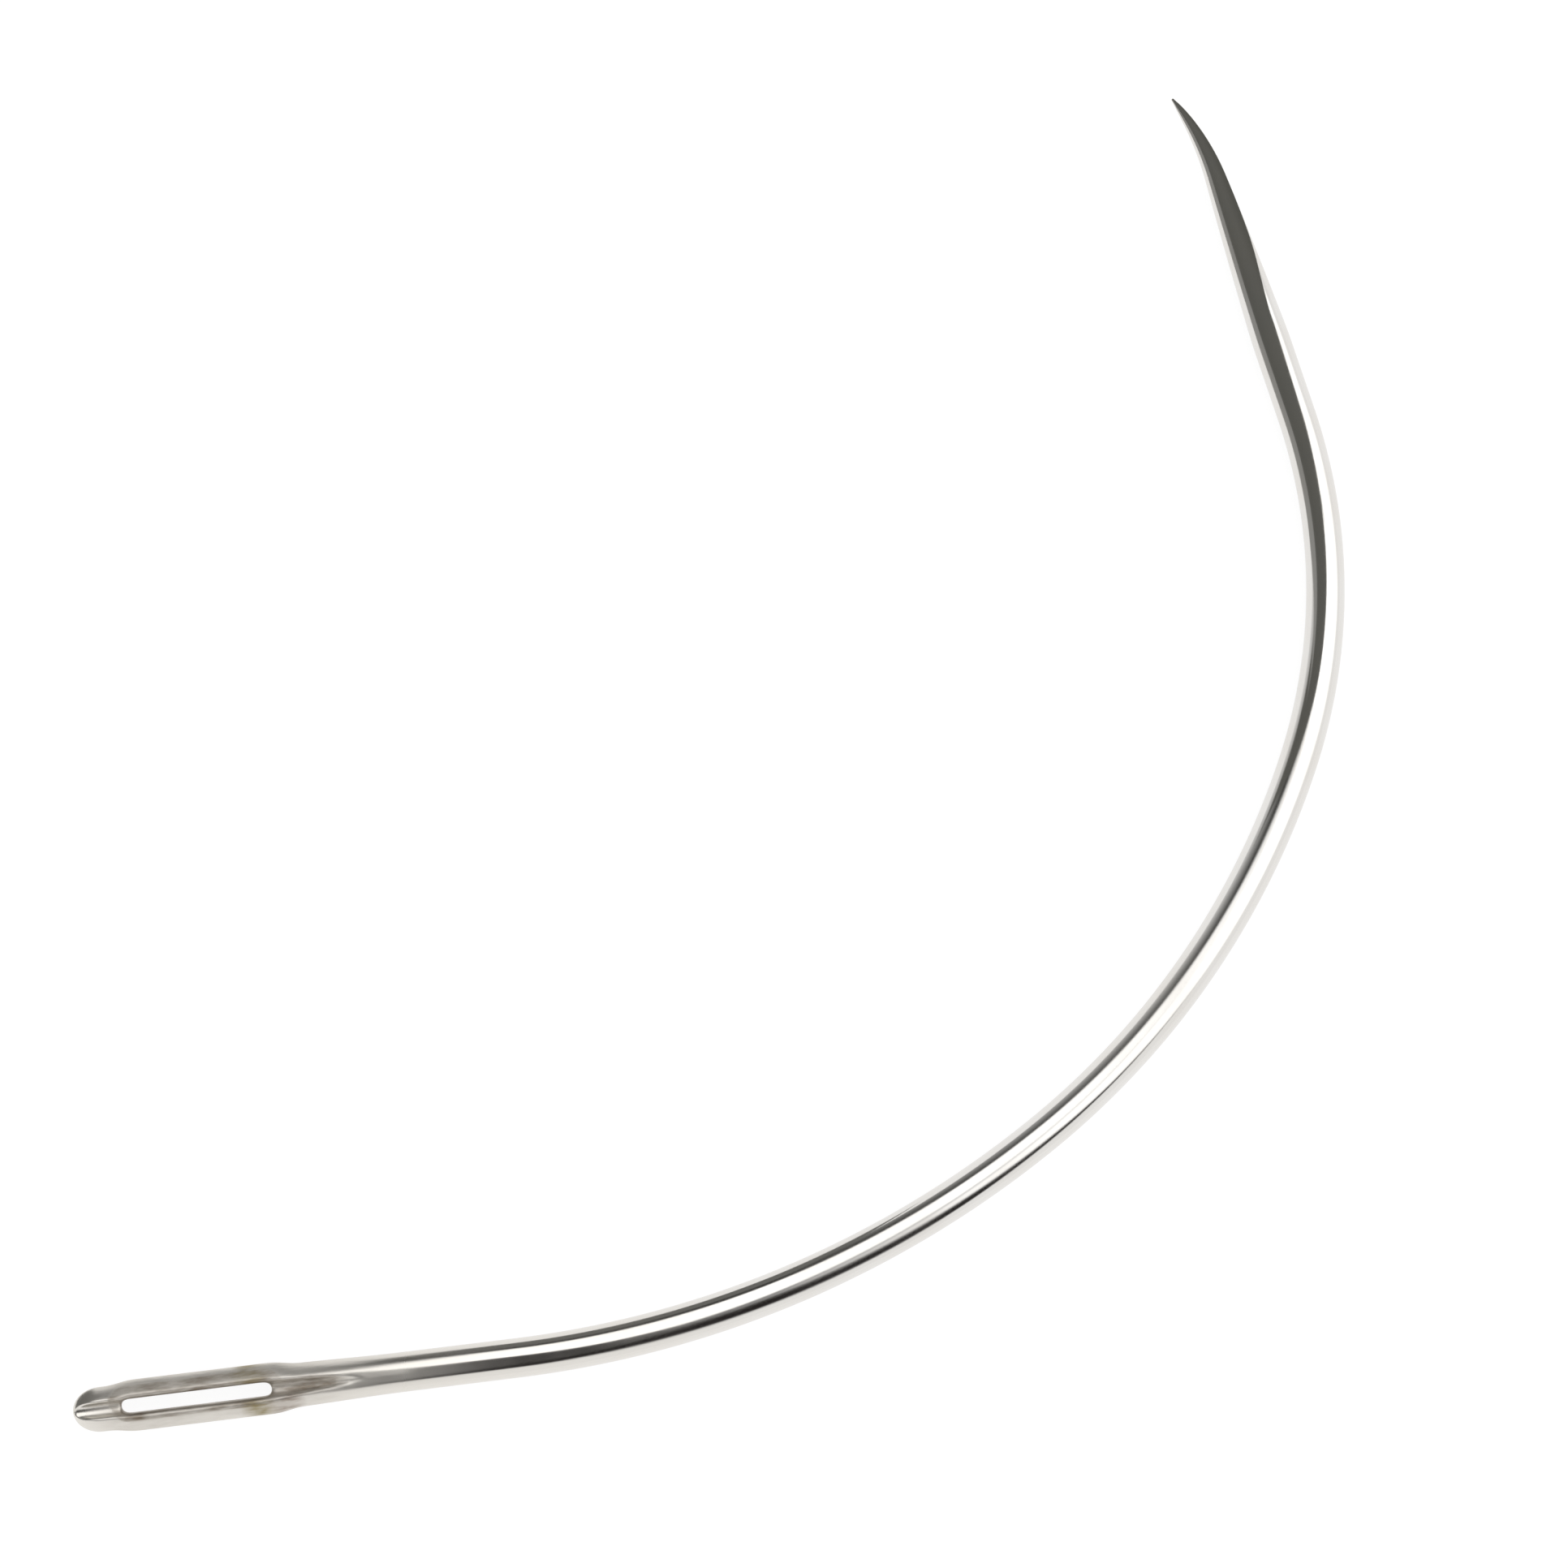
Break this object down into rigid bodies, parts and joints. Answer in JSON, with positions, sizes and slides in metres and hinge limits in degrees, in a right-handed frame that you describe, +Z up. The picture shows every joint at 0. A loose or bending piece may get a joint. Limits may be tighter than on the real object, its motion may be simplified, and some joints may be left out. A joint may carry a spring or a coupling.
{
  "type": "curved weaving needle",
  "caption": "C-curved weaving needle of polished round steel wire: a flattened head with a long thread eye and gutters at one end, a slender hooked point at the other.",
  "frame": {"origin": "bottom centre of the needle's box, on the surface that it lies on", "axes": "+X along the chord from the head to the point, +Y towards the open side of the C, +Z up, square to the plane of the C"},
  "size_m": [0.0652, 0.023, 0.0015],
  "materials": {
    "plated_steel": "nickel-plated carbon steel wire, polished to a mirror along the shank and point, a little duller and warmer in the pressed head and eye"
  },
  "bodies": {
    "root": {"head": "plated_steel", "shank": "plated_steel", "point": "plated_steel"}
  },
  "joints": []
}
